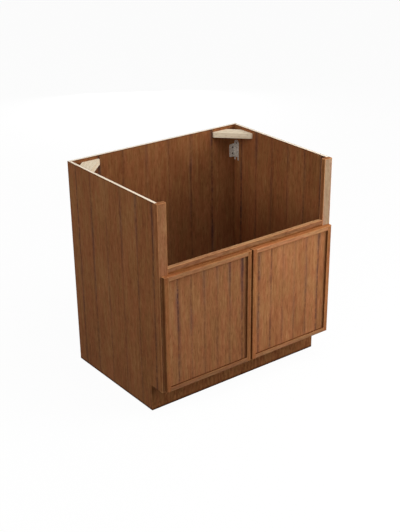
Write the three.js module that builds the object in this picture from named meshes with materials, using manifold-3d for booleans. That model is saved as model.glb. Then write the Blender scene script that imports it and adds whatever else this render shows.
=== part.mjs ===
// A two-door sink base cabinet for a sink that brings its own front apron: the top is open, and so is
// the front above the apron rail. Plywood box, solid face frame, slim-framed doors on concealed hinges.
//
// Millimetres. +Z is up, +Y points to the wall behind and +X to the right of someone at the doors.
// The origin is on the floor, in the middle of the space that the cabinet takes with its doors closed.
// Left-hand pieces are modelled as they stand; the right-hand ones are the same group, mirrored in X.
import * as THREE from "three";
import { mergeVertices } from "three/addons/utils/BufferGeometryUtils.js";
import Module from "manifold-3d";

const wasm = await Module();
wasm.setup();

// ---- Driving dimensions -----------------------------------------------------------------------

const GLUE_GAP = 0.25; // left between pieces that touch
const RUNNING_GAP = 0.35; // left between hinge pieces that turn past each other
const CUTTER_EXCESS = 1; // how far a cutting shape stands out of what it cuts

// Box
const CABINET_WIDTH = 838.2;
const CABINET_HEIGHT = 876.3;
const CABINET_DEPTH = 609.6; // back to the front of the face frame, without the doors
const SIDE_THICKNESS = 12.7;
const BACK_THICKNESS = 12.7;
const FLOOR_THICKNESS = 12.7;
const GROOVE_DEPTH = 6.35; // how deep the sides are cut for the back and the floor
const CLEAT_THICKNESS = 19.05; // strip that carries the floor's rear edge
const CLEAT_HEIGHT = 38.1;

// Toe kick
const TOE_HEIGHT = 114.3;
const TOE_RECESS = 76.2; // behind the front of the face frame
const TOE_SKIN_THICKNESS = 6.35; // finished board over the ends of the sides
const TOE_BEARER_THICKNESS = 12.7; // board behind it that carries the floor

// Face frame
const FRAME_THICKNESS = 19.05;
const STILE_WIDTH = 38.1;
const BOTTOM_RAIL_HEIGHT = 38.1;
const APRON_RAIL_HEIGHT = 38.1;
const APRON_OPENING_HEIGHT = 254; // from the top of the sides down to the apron rail
const FRAME_EDGE_RADIUS = 1;

// Corner blocks, seen from above: a triangle with its inner corner cut off and blunt tips
const BLOCK_DROP = 13.5; // below the top edges of the box
const BLOCK_THICKNESS = 21.5;
const BLOCK_LEG = 120.65;
const BLOCK_CLIP = 45;
const BLOCK_TIP = 8;

// Corner brackets: an angle of sheet steel in the corner under each block
const BRACKET_SHEET = 1.6;
const BRACKET_WIDTH = 30; // of each leg, from the corner
const BRACKET_DROP = 32.1; // below the block
const BRACKET_HEIGHT = 90; // of the leg on the side panel
const BRACKET_STEP = 19; // how much lower the other leg's top is
const BRACKET_BACK_HEIGHT = 58; // of the leg on the back panel
const BRACKET_HOLE_RADIUS = 3;
const BRACKET_HOLE_INSET = 12.4; // from the corner
const BRACKET_HOLE_SPACING = 26.4;
const BRACKET_CORNER_RADIUS = 7; // of the leg on the back panel
const BRACKET_TOP_RADIUS = 14; // of the leg on the side panel
const BRACKET_FOOT_RADIUS = 1;
const BRACKET_FOOT_WIDTH = 8;
const BRACKET_FOOT_HEIGHT = 13;
const BRACKET_RIB_INSET = 17; // rib's middle line to the corner
const BRACKET_RIB_WIDTH = 9;
const BRACKET_RIB_HEIGHT = 38;
const BRACKET_RIB_RISE = 2;

// Doors
const DOOR_THICKNESS = 19.05;
const DOOR_FACE_GAP = 1.9; // the bumpers keep the doors this far off the face frame
const DOOR_SIDE_REVEAL = 6.35; // face frame that shows beside, below and above a closed door
const DOOR_BOTTOM_REVEAL = 6.35;
const DOOR_TOP_REVEAL = 22.2;
const DOOR_MIDDLE_GAP = 6.35; // between the two doors
const MEMBER_WIDTH = 19.05; // of the door's stiles and rails, as seen from the front
const PANEL_RECESS = 8.5; // behind the front of the door's stiles and rails
const PANEL_OVERLAP = 6.35; // how far the panel reaches behind them
const MEMBER_INNER_RADIUS = 1.8; // of their front edge beside the panel
const MEMBER_OUTER_RADIUS = 4; // of the front edge that runs round the door

// Bumpers
const BUMPER_RADIUS = 4;
const BUMPER_INSET = 10; // from the door's free edge and from the edge of the frame's opening

// Hinges. The arm's pins and the knees are measured, in plan, from the inner front corner of the
// face-frame stile; the cup's pins from the cup's axis and the back of the door.
const HINGE_INSET = 88.9; // hinge centre to the door's top or bottom edge
const CUP_EDGE_DISTANCE = 22.5; // cup's axis to the door's outer edge
const CUP_RADIUS = 17.5; // of the bore in the door
const CUP_DEPTH = 9.5;
const CUP_WALL = 0.9;
const CUP_RIM_WIDTH = 1.5;
const CUP_RIM_GAP_DEPTH = 1; // below the flange, where the links pass over the rim
const FLANGE_THICKNESS = 0.9;
const FLANGE_SCREW_SPACING = 45;
const FLANGE_SCREW_OFFSET = 9.5; // screws to the cup's axis, away from the door's outer edge
const FLANGE_SCREW_RADIUS = 2.2;
const FLANGE_EAR_RADIUS = 5.5;
const ARM_PLATE_THICKNESS = 1.8; // plate on the stile's edge
const ARM_PLATE_HEIGHT = 46;
const ARM_PLATE_MARGIN = 1.5; // stile left bare in front of and behind the plate
const ARM_PLATE_NOTCH = 8; // the plate is open this far back, where the links pass
const ARM_CHEEK_THICKNESS = 1.5;
const ARM_SCREW_RADIUS = 2.4;
const ARM_SCREW_SPACING = 31;
const LINK_HEIGHT = 5.6; // of each link; the outer one turns below the inner one
const LINK_WIDTH = 2.4;
const EYE_RADIUS = 3;
const PIN_RADIUS = 1.4;
const OUTER_ARM_PIN = [6.8, 14];
const OUTER_KNEE = [-1.2, -8];
const OUTER_CUP_PIN = [-11.65, -3.1];
const INNER_ARM_PIN = [16, 2.2];
const INNER_KNEE = [-7.3, -3.4];
const INNER_CUP_PIN = [-6.65, -3.1];

// ---- Places worked out from them ----------------------------------------------------------------

const backY = (CABINET_DEPTH + DOOR_FACE_GAP + DOOR_THICKNESS) / 2;
const frameFrontY = backY - CABINET_DEPTH;
const frameBackY = frameFrontY + FRAME_THICKNESS;
const doorBackY = frameFrontY - DOOR_FACE_GAP;
const backPanelY = backY - BACK_THICKNESS; // inner face of the back panel
const outerX = CABINET_WIDTH / 2;
const innerX = outerX - SIDE_THICKNESS; // inner face of a side panel
const openingX = outerX - STILE_WIDTH; // inner edge of a stile
const floorTopZ = TOE_HEIGHT + BOTTOM_RAIL_HEIGHT;
const floorBottomZ = floorTopZ - FLOOR_THICKNESS;
const apronRailTopZ = CABINET_HEIGHT - APRON_OPENING_HEIGHT;
const apronRailBottomZ = apronRailTopZ - APRON_RAIL_HEIGHT;
const toeFrontY = frameFrontY + TOE_RECESS;
const toeNotchY = toeFrontY + TOE_SKIN_THICKNESS;
const doorWidth = outerX - DOOR_SIDE_REVEAL - DOOR_MIDDLE_GAP / 2;
const doorBottomZ = TOE_HEIGHT + DOOR_BOTTOM_REVEAL;
const doorHeight = apronRailTopZ - DOOR_TOP_REVEAL - doorBottomZ;
const panelThickness = DOOR_THICKNESS - PANEL_RECESS;

const material = (color, roughness, metalness = 0) =>
  new THREE.MeshStandardMaterial({ color, roughness, metalness });
const stainedWood = material(0x8a5634, 0.5);
const panelWood = material(0x7c4c2e, 0.52);
const rawWood = material(0xe2d2b4, 0.75);
const zinc = material(0x9a948c, 0.38, 0.9);
const nickel = material(0xb4b2ae, 0.3, 0.95);
const rubber = material(0xd8d8d4, 0.6);

// ---- Shape helpers --------------------------------------------------------------------------------

// A closed geometry as a solid that can be joined and cut, and back.
function solid(geometry) {
  const bare = geometry.clone();
  bare.deleteAttribute("normal");
  bare.deleteAttribute("uv");
  const merged = mergeVertices(bare, 1e-4);
  return new wasm.Manifold(
    new wasm.Mesh({
      numProp: 3,
      vertProperties: new Float32Array(merged.attributes.position.array),
      triVerts: new Uint32Array(merged.index.array),
    }),
  );
}

function geometryOf(body) {
  const mesh = body.getMesh();
  const geometry = new THREE.BufferGeometry();
  geometry.setAttribute("position", new THREE.BufferAttribute(mesh.vertProperties, 3));
  geometry.setIndex(new THREE.BufferAttribute(mesh.triVerts, 1));
  const faceted = geometry.toNonIndexed();
  faceted.computeVertexNormals();
  return faceted;
}

const join = (...geometries) =>
  geometryOf(geometries.map(solid).reduce((sum, piece) => sum.add(piece)));

const cut = (geometry, ...tools) =>
  geometryOf(tools.map(solid).reduce((rest, tool) => rest.subtract(tool), solid(geometry)));

const within = (geometry, limit) => geometryOf(solid(geometry).intersect(solid(limit)));

// A box between two corners.
function box([x0, y0, z0], [x1, y1, z1]) {
  const geometry = new THREE.BoxGeometry(x1 - x0, y1 - y0, z1 - z0);
  return geometry.translate((x0 + x1) / 2, (y0 + y1) / 2, (z0 + z1) / 2);
}

// An outline extruded between two levels of one axis. Its points are (y, z) for "x", (x, z) for "y"
// and (x, y) for "z".
const EXTRUSION_FRAMES = {
  x: [new THREE.Vector3(0, 1, 0), new THREE.Vector3(0, 0, 1), new THREE.Vector3(1, 0, 0)],
  y: [new THREE.Vector3(1, 0, 0), new THREE.Vector3(0, 0, 1), new THREE.Vector3(0, -1, 0)],
  z: [new THREE.Vector3(1, 0, 0), new THREE.Vector3(0, 1, 0), new THREE.Vector3(0, 0, 1)],
};

function extrude(axis, shape, from, to, curveSegments = 8) {
  const geometry = new THREE.ExtrudeGeometry(shape, {
    depth: to - from,
    bevelEnabled: false,
    curveSegments,
  });
  const [across, along, depth] = EXTRUSION_FRAMES[axis];
  geometry.applyMatrix4(new THREE.Matrix4().makeBasis(across, along, depth));
  const start = axis === "y" ? to : from; // the frame for "y" extrudes towards -Y
  const offset = new THREE.Vector3();
  offset[axis] = start;
  return geometry.translate(offset.x, offset.y, offset.z);
}

const polygon = (points) => new THREE.Shape(points.map(([u, v]) => new THREE.Vector2(u, v)));

// A rectangle whose four corner radii are given from the low-low corner, anticlockwise.
function roundedRectangle([u0, v0], [u1, v1], [r00, r10, r11, r01]) {
  const shape = new THREE.Shape();
  shape.moveTo(u0 + r00, v0);
  shape.lineTo(u1 - r10, v0);
  if (r10) shape.absarc(u1 - r10, v0 + r10, r10, -Math.PI / 2, 0);
  shape.lineTo(u1, v1 - r11);
  if (r11) shape.absarc(u1 - r11, v1 - r11, r11, 0, Math.PI / 2);
  shape.lineTo(u0 + r01, v1);
  if (r01) shape.absarc(u0 + r01, v1 - r01, r01, Math.PI / 2, Math.PI);
  shape.lineTo(u0, v0 + r00);
  if (r00) shape.absarc(u0 + r00, v0 + r00, r00, Math.PI, 1.5 * Math.PI);
  return shape;
}

function circle([u, v], radius) {
  const shape = new THREE.Shape();
  shape.absarc(u, v, radius, 0, 2 * Math.PI);
  return shape;
}

// A bar with round ends about the line from p to q.
function capsule([px, py], [qx, qy], radius) {
  const angle = Math.atan2(qy - py, qx - px);
  const shape = new THREE.Shape();
  shape.absarc(px, py, radius, angle + Math.PI / 2, angle + 1.5 * Math.PI);
  shape.absarc(qx, qy, radius, angle - Math.PI / 2, angle + Math.PI / 2);
  return shape;
}

function mesh(name, geometry, finish, position = [0, 0, 0]) {
  const piece = new THREE.Mesh(geometry, finish);
  piece.name = name;
  piece.position.set(...position);
  return piece;
}

function group(position, ...children) {
  const assembly = new THREE.Group();
  assembly.position.set(...position);
  assembly.add(...children);
  return assembly;
}

// ---- Box --------------------------------------------------------------------------------------------

// Plywood side with a notch for the toe kick, a rabbet for the back and a groove for the floor.
function sidePanel() {
  const frontY = frameBackY + GLUE_GAP;
  const notchY = toeNotchY + GLUE_GAP;
  const outline = polygon([
    [notchY, 0],
    [backY, 0],
    [backY, CABINET_HEIGHT],
    [frontY, CABINET_HEIGHT],
    [frontY, TOE_HEIGHT],
    [notchY, TOE_HEIGHT],
  ]);
  const panel = extrude("x", outline, -outerX, -innerX);
  const cutX = -innerX - GROOVE_DEPTH;
  const clearX = -innerX + CUTTER_EXCESS;
  const clearY = backY + CUTTER_EXCESS;
  const rabbet = box(
    [cutX, backPanelY - GLUE_GAP, -CUTTER_EXCESS],
    [clearX, clearY, CABINET_HEIGHT + CUTTER_EXCESS],
  );
  const floorGroove = box(
    [cutX, frontY - CUTTER_EXCESS, floorBottomZ - GLUE_GAP],
    [clearX, clearY, floorTopZ + GLUE_GAP],
  );
  return cut(panel, rabbet, floorGroove);
}

// The back and the floor reach into the sides' grooves.
const grooveX = innerX + GROOVE_DEPTH - GLUE_GAP;
const backPanel = () => box([-grooveX, backPanelY, 0], [grooveX, backY, CABINET_HEIGHT]);
const floorPanel = () =>
  box(
    [-grooveX, frameBackY + GLUE_GAP, floorBottomZ],
    [grooveX, backPanelY - GLUE_GAP, floorTopZ],
  );

// What carries the floor fits between the sides.
const betweenX = innerX - GLUE_GAP;
const bearingZ = floorBottomZ - GLUE_GAP;
const floorCleat = () =>
  box(
    [-betweenX, backPanelY - GLUE_GAP - CLEAT_THICKNESS, bearingZ - CLEAT_HEIGHT],
    [betweenX, backPanelY - GLUE_GAP, bearingZ],
  );

function toeBearer() {
  const frontY = toeNotchY + GLUE_GAP;
  return box([-betweenX, frontY, 0], [betweenX, frontY + TOE_BEARER_THICKNESS, bearingZ]);
}

const toeBoard = () =>
  box([-outerX, toeFrontY, 0], [outerX, toeNotchY, TOE_HEIGHT - GLUE_GAP]);

// ---- Face frame -------------------------------------------------------------------------------------
// The front edges of its sticks are eased.

function frameStile() {
  const section = roundedRectangle(
    [-outerX, frameFrontY],
    [-openingX, frameBackY],
    [FRAME_EDGE_RADIUS, FRAME_EDGE_RADIUS, 0, 0],
  );
  return extrude("z", section, TOE_HEIGHT, CABINET_HEIGHT, 3);
}

function frameRail(bottomZ, topZ) {
  const section = roundedRectangle(
    [frameFrontY, bottomZ],
    [frameBackY, topZ],
    [FRAME_EDGE_RADIUS, 0, 0, FRAME_EDGE_RADIUS],
  );
  return extrude("x", section, -openingX + GLUE_GAP, openingX - GLUE_GAP, 3);
}

// ---- Rear corners -----------------------------------------------------------------------------------

const cornerX = -innerX + GLUE_GAP;
const cornerY = backPanelY - GLUE_GAP;
const blockTopZ = CABINET_HEIGHT - BLOCK_DROP;
const blockBottomZ = blockTopZ - BLOCK_THICKNESS;

function cornerBlock() {
  const fromCorner = [
    [BLOCK_CLIP, 0],
    [0, BLOCK_CLIP],
    [0, BLOCK_LEG],
    [BLOCK_TIP, BLOCK_LEG],
    [BLOCK_LEG, BLOCK_TIP],
    [BLOCK_LEG, 0],
  ];
  const outline = polygon(fromCorner.map(([right, front]) => [cornerX + right, cornerY - front]));
  return extrude("z", outline, blockBottomZ, blockTopZ);
}

// A leg on the back panel with two holes, and a taller one on the side panel with a hole in its
// round top, a pressed rib and two feet.
function cornerBracket() {
  const topZ = blockBottomZ - BRACKET_DROP;
  const bottomZ = topZ - BRACKET_HEIGHT;
  const backTopZ = topZ - BRACKET_STEP;
  const backBottomZ = backTopZ - BRACKET_BACK_HEIGHT;
  const middleZ = (backTopZ + backBottomZ) / 2;

  const backOutline = roundedRectangle(
    [cornerX, backBottomZ],
    [cornerX + BRACKET_WIDTH, backTopZ],
    [0, BRACKET_CORNER_RADIUS, BRACKET_CORNER_RADIUS, 0],
  );
  for (const side of [-1, 1]) {
    const place = [cornerX + BRACKET_HOLE_INSET, middleZ + (side * BRACKET_HOLE_SPACING) / 2];
    backOutline.holes.push(circle(place, BRACKET_HOLE_RADIUS));
  }
  const backLeg = extrude("y", backOutline, cornerY - BRACKET_SHEET, cornerY);

  const frontY = cornerY - BRACKET_WIDTH;
  const sideOutline = roundedRectangle(
    [frontY, bottomZ],
    [cornerY, topZ],
    [BRACKET_FOOT_RADIUS, BRACKET_FOOT_RADIUS, BRACKET_TOP_RADIUS, BRACKET_TOP_RADIUS],
  );
  const topHole = [cornerY - BRACKET_WIDTH / 2, topZ - BRACKET_TOP_RADIUS];
  sideOutline.holes.push(circle(topHole, BRACKET_HOLE_RADIUS));
  const sideLeg = extrude("x", sideOutline, cornerX, cornerX + BRACKET_SHEET);
  const betweenFeet = box(
    [cornerX - CUTTER_EXCESS, frontY + BRACKET_FOOT_WIDTH, bottomZ - CUTTER_EXCESS],
    [
      cornerX + BRACKET_SHEET + CUTTER_EXCESS,
      cornerY - BRACKET_FOOT_WIDTH,
      bottomZ + BRACKET_FOOT_HEIGHT,
    ],
  );

  const ribY = cornerY - BRACKET_RIB_INSET;
  const ribReach = (BRACKET_RIB_HEIGHT - BRACKET_RIB_WIDTH) / 2;
  const rib = extrude(
    "x",
    capsule([ribY, middleZ - ribReach], [ribY, middleZ + ribReach], BRACKET_RIB_WIDTH / 2),
    cornerX + BRACKET_SHEET / 2,
    cornerX + BRACKET_SHEET + BRACKET_RIB_RISE,
    5,
  );
  return join(backLeg, cut(sideLeg, betweenFeet), rib);
}

// ---- Doors ------------------------------------------------------------------------------------------
// A door's own frame has its origin at the lower outer back corner: X runs across the door to its
// free edge, Y is 0 at the back and negative to the front, and Z runs up.

const memberBackWidth = MEMBER_WIDTH - PANEL_OVERLAP; // of a stile or rail behind its rabbet
const hingeHeights = { lower: HINGE_INSET, upper: doorHeight - HINGE_INSET };

// Section of a door's stile or rail from its outer edge inwards, with the rabbet for the panel.
function memberSection() {
  const outer = MEMBER_OUTER_RADIUS;
  const inner = MEMBER_INNER_RADIUS;
  const rabbetY = -panelThickness - GLUE_GAP;
  const shape = new THREE.Shape();
  shape.moveTo(0, outer - DOOR_THICKNESS);
  shape.absarc(outer, outer - DOOR_THICKNESS, outer, Math.PI, 1.5 * Math.PI);
  shape.absarc(MEMBER_WIDTH - inner, inner - DOOR_THICKNESS, inner, 1.5 * Math.PI, 2 * Math.PI);
  shape.lineTo(MEMBER_WIDTH, rabbetY);
  shape.lineTo(memberBackWidth, rabbetY);
  shape.lineTo(memberBackWidth, 0);
  shape.lineTo(0, 0);
  return shape;
}

// The stiles run the full height, and the rounded edge goes on over their ends.
function doorStile() {
  const sideView = roundedRectangle(
    [-DOOR_THICKNESS, 0],
    [0, doorHeight],
    [MEMBER_OUTER_RADIUS, 0, 0, MEMBER_OUTER_RADIUS],
  );
  return within(
    extrude("z", memberSection(), 0, doorHeight, 4),
    extrude("x", sideView, -CUTTER_EXCESS, MEMBER_WIDTH + CUTTER_EXCESS, 4),
  );
}

// The rails fit between the stiles, with a stub at each end that fills the stile's rabbet.
function doorRail() {
  const lipEnd = MEMBER_WIDTH + GLUE_GAP;
  const stubEnd = memberBackWidth + GLUE_GAP;
  const lip = extrude("z", memberSection(), lipEnd, doorWidth - lipEnd, 4);
  const stub = box([0, -panelThickness, stubEnd], [memberBackWidth, 0, doorWidth - stubEnd]);
  const layDown = new THREE.Matrix4().makeBasis(
    new THREE.Vector3(0, 0, 1),
    new THREE.Vector3(0, 1, 0),
    new THREE.Vector3(-1, 0, 0),
  );
  return join(lip, stub).applyMatrix4(layDown).translate(doorWidth, 0, 0);
}

const cupBores = () =>
  Object.values(hingeHeights).map((z) =>
    extrude("y", circle([CUP_EDGE_DISTANCE, z], CUP_RADIUS), -CUP_DEPTH, CUTTER_EXCESS, 24),
  );

function doorPanel() {
  const edge = memberBackWidth + GLUE_GAP;
  const board = box([edge, -panelThickness, edge], [doorWidth - edge, 0, doorHeight - edge]);
  return cut(board, ...cupBores());
}

// A soft pad with a domed face.
function bumper() {
  const thickness = DOOR_FACE_GAP - 2 * GLUE_GAP;
  const profile = [
    [0, 0],
    [BUMPER_RADIUS, 0],
    [BUMPER_RADIUS, thickness / 2],
    [BUMPER_RADIUS - thickness, thickness],
    [0, thickness],
  ].map(([radius, y]) => new THREE.Vector2(radius, y));
  return new THREE.LatheGeometry(profile, 20);
}

function door(side) {
  const name = (piece) => `${side}_door_${piece}`;
  const freeStile = mesh(name("inner_stile"), doorStile(), stainedWood, [doorWidth, 0, 0]);
  freeStile.scale.x = -1;
  const topRail = mesh(name("top_rail"), doorRail(), stainedWood, [0, 0, doorHeight]);
  topRail.scale.z = -1;
  const bumperX = doorWidth - BUMPER_INSET;
  const lowBumperZ = (floorTopZ - doorBottomZ) / 2; // halfway up what overlaps the bottom rail
  const highBumperZ = (doorHeight + apronRailBottomZ - doorBottomZ) / 2;
  return group(
    [-outerX + DOOR_SIDE_REVEAL, doorBackY, doorBottomZ],
    mesh(name("outer_stile"), cut(doorStile(), ...cupBores()), stainedWood),
    freeStile,
    mesh(name("bottom_rail"), doorRail(), stainedWood),
    topRail,
    mesh(name("panel"), doorPanel(), panelWood),
    mesh(name("lower_bumper"), bumper(), rubber, [bumperX, GLUE_GAP, lowBumperZ]),
    mesh(name("upper_bumper"), bumper(), rubber, [bumperX, GLUE_GAP, highBumperZ]),
  );
}

// ---- Hinges -----------------------------------------------------------------------------------------
// A hinge's own frame has its origin at the inner front corner of the stile, halfway up the hinge.
// The cup's place in it follows from the door's overlay and gap.

const cupAxis = [CUP_EDGE_DISTANCE - (STILE_WIDTH - DOOR_SIDE_REVEAL), -DOOR_FACE_GAP];
const inCup = ([x, y]) => [cupAxis[0] + x, cupAxis[1] + y];
const lowerLevel = [-RUNNING_GAP / 2 - LINK_HEIGHT, -RUNNING_GAP / 2];
const upperLevel = [RUNNING_GAP / 2, RUNNING_GAP / 2 + LINK_HEIGHT];
const cheekZ = upperLevel[1] + RUNNING_GAP; // inner face of the arm's cheeks

// Steel cup let into the door, with a screw flange on the door's back and the outer link's pin.
function hingeCup() {
  const outer = CUP_RADIUS - GLUE_GAP;
  const inner = outer - CUP_WALL;
  const bottomY = GLUE_GAP - CUP_DEPTH;
  const flangeY = GLUE_GAP + FLANGE_THICKNESS;
  const profile = [
    [0, bottomY],
    [outer, bottomY],
    [outer, GLUE_GAP],
    [outer + CUP_RIM_WIDTH, GLUE_GAP],
    [outer + CUP_RIM_WIDTH, flangeY],
    [inner, flangeY],
    [inner, bottomY + CUP_WALL],
    [0, bottomY + CUP_WALL],
  ].map(([radius, y]) => new THREE.Vector2(radius, y));
  const shell = new THREE.LatheGeometry(profile, 40);

  const ears = [-1, 1].map((end) => [FLANGE_SCREW_OFFSET, (end * FLANGE_SCREW_SPACING) / 2]);
  const wing = capsule(ears[0], ears[1], FLANGE_EAR_RADIUS);
  wing.holes.push(...ears.map((place) => circle(place, FLANGE_SCREW_RADIUS)));
  const mouth = extrude("y", circle([0, 0], inner), 0, flangeY + CUTTER_EXCESS, 20);
  const flange = cut(extrude("y", wing, GLUE_GAP, flangeY), mouth);

  // The pin stands on the cup's wall below the link.
  const core = extrude("y", circle([0, 0], outer - CUP_WALL / 2), bottomY, GLUE_GAP, 20);
  const pin = extrude("z", circle(OUTER_CUP_PIN, PIN_RADIUS), -outer, lowerLevel[1]);

  // The rim is open on both sides, where the links pass.
  const reach = outer + CUP_RIM_WIDTH + CUTTER_EXCESS;
  const gap = box(
    [-reach, GLUE_GAP - CUP_RIM_GAP_DEPTH, -cheekZ],
    [reach, flangeY + CUTTER_EXCESS, cheekZ],
  );
  return join(cut(join(shell, flange), gap), within(pin, core)).translate(...cupAxis, 0);
}

// Pressed arm on the edge of the stile: a plate, two cheeks and a pin in each for its link.
function hingeArm() {
  const plateBackY = FRAME_THICKNESS - ARM_PLATE_MARGIN;
  const plateOutline = polygon([
    [ARM_PLATE_MARGIN, -ARM_PLATE_HEIGHT / 2],
    [plateBackY, -ARM_PLATE_HEIGHT / 2],
    [plateBackY, ARM_PLATE_HEIGHT / 2],
    [ARM_PLATE_MARGIN, ARM_PLATE_HEIGHT / 2],
    [ARM_PLATE_MARGIN, cheekZ],
    [ARM_PLATE_NOTCH, cheekZ],
    [ARM_PLATE_NOTCH, -cheekZ],
    [ARM_PLATE_MARGIN, -cheekZ],
  ]);
  const screwY = FRAME_THICKNESS / 2;
  for (const end of [-1, 1]) {
    plateOutline.holes.push(circle([screwY, (end * ARM_SCREW_SPACING) / 2], ARM_SCREW_RADIUS));
  }
  const plate = extrude("x", plateOutline, GLUE_GAP, GLUE_GAP + ARM_PLATE_THICKNESS);

  const webOutline = polygon([
    [GLUE_GAP, ARM_PLATE_MARGIN],
    [INNER_ARM_PIN[0], INNER_ARM_PIN[1] - EYE_RADIUS],
    [OUTER_ARM_PIN[0], OUTER_ARM_PIN[1] + EYE_RADIUS],
    [GLUE_GAP, OUTER_ARM_PIN[1] + EYE_RADIUS],
  ]);
  const cheek = (low, high) => [
    extrude("z", webOutline, low, high),
    extrude("z", capsule(INNER_ARM_PIN, OUTER_ARM_PIN, EYE_RADIUS), low, high),
  ];
  const outside = cheekZ + ARM_CHEEK_THICKNESS;
  return join(
    plate,
    ...cheek(-outside, -cheekZ),
    ...cheek(cheekZ, outside),
    extrude("z", circle(OUTER_ARM_PIN, PIN_RADIUS), -outside, lowerLevel[1]),
    extrude("z", circle(INNER_ARM_PIN, PIN_RADIUS), upperLevel[0], outside),
  );
}

// A cranked link: two bars that meet at a knee, with an eye round each pin.
function hingeLink(armPin, knee, cupPin, [low, high], boredPins) {
  const body = join(
    extrude("z", capsule(armPin, knee, LINK_WIDTH / 2), low, high, 4),
    extrude("z", capsule(knee, cupPin, LINK_WIDTH / 2), low, high, 4),
    extrude("z", circle(armPin, EYE_RADIUS), low, high),
    extrude("z", circle(cupPin, EYE_RADIUS), low, high),
  );
  const bores = boredPins.map((pin) =>
    extrude("z", circle(pin, PIN_RADIUS + RUNNING_GAP), low - CUTTER_EXCESS, high + CUTTER_EXCESS),
  );
  return cut(body, ...bores);
}

const outerLink = () => {
  const cupPin = inCup(OUTER_CUP_PIN);
  return hingeLink(OUTER_ARM_PIN, OUTER_KNEE, cupPin, lowerLevel, [OUTER_ARM_PIN, cupPin]);
};

// The inner link carries its own rivet at the cup: that end is the linkage's open pivot.
const innerLink = () => {
  const cupPin = inCup(INNER_CUP_PIN);
  return hingeLink(INNER_ARM_PIN, INNER_KNEE, cupPin, upperLevel, [INNER_ARM_PIN]);
};

function hinge(side, level) {
  const name = (piece) => `${side}_${level}_hinge_${piece}`;
  return group(
    [-openingX, frameFrontY, doorBottomZ + hingeHeights[level]],
    mesh(name("cup"), hingeCup(), nickel),
    mesh(name("arm"), hingeArm(), nickel),
    mesh(name("outer_link"), outerLink(), nickel),
    mesh(name("inner_link"), innerLink(), nickel),
  );
}

// ---- Assembly ---------------------------------------------------------------------------------------

function handedSide(side) {
  return group(
    [0, 0, 0],
    mesh(`${side}_side_panel`, sidePanel(), panelWood),
    mesh(`${side}_frame_stile`, frameStile(), stainedWood),
    mesh(`rear_${side}_corner_block`, cornerBlock(), rawWood),
    mesh(`rear_${side}_corner_bracket`, cornerBracket(), zinc),
    door(side),
    hinge(side, "lower"),
    hinge(side, "upper"),
  );
}

const leftSide = handedSide("left");
const rightSide = handedSide("right");
rightSide.scale.x = -1;

export default group(
  [0, 0, 0],
  leftSide,
  rightSide,
  mesh("back_panel", backPanel(), panelWood),
  mesh("floor_panel", floorPanel(), panelWood),
  mesh("rear_floor_cleat", floorCleat(), rawWood),
  mesh("toe_bearer", toeBearer(), rawWood),
  mesh("toe_kick_board", toeBoard(), stainedWood),
  mesh("frame_bottom_rail", frameRail(TOE_HEIGHT, floorTopZ), stainedWood),
  mesh("frame_apron_rail", frameRail(apronRailBottomZ, apronRailTopZ), stainedWood),
);
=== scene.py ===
"""Dresses the sink base cabinet: stained wood in joined strips, bare edges, plated hinges, screws and pads.

Metres, in the part's own frame: +Z up, the doors face -Y, and +X is to the right of someone at the doors.
"""

import math
from typing import NamedTuple

import bmesh
import bpy
from mathutils import Matrix, Vector


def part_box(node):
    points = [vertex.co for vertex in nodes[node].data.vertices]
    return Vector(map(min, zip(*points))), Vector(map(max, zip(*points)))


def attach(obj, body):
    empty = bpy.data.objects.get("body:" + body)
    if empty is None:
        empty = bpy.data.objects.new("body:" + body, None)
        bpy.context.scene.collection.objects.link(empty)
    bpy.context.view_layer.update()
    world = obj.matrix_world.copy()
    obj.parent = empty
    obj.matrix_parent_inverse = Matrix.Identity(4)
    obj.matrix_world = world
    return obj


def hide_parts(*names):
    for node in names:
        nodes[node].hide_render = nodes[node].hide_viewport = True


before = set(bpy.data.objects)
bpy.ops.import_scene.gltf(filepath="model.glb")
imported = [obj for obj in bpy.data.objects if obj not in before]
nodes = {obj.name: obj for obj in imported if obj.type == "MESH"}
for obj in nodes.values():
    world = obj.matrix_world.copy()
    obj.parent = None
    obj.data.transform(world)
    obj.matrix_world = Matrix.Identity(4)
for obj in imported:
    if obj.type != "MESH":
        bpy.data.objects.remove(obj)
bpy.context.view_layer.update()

SIDES = {"left": 1, "right": -1}  # the way along X from a side into the cabinet
LEVELS = ("lower", "upper")
X, Y, Z = 0, 1, 2
BOTH_ENDS = (-1, 1)


def middle(node, axis):
    """Where the middle of a solid's box is on an axis."""
    low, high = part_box(node)
    return (low[axis] + high[axis]) / 2


# ---- Nodes of a material ----------------------------------------------------------------------------


Socket = bpy.types.NodeSocket


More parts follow.
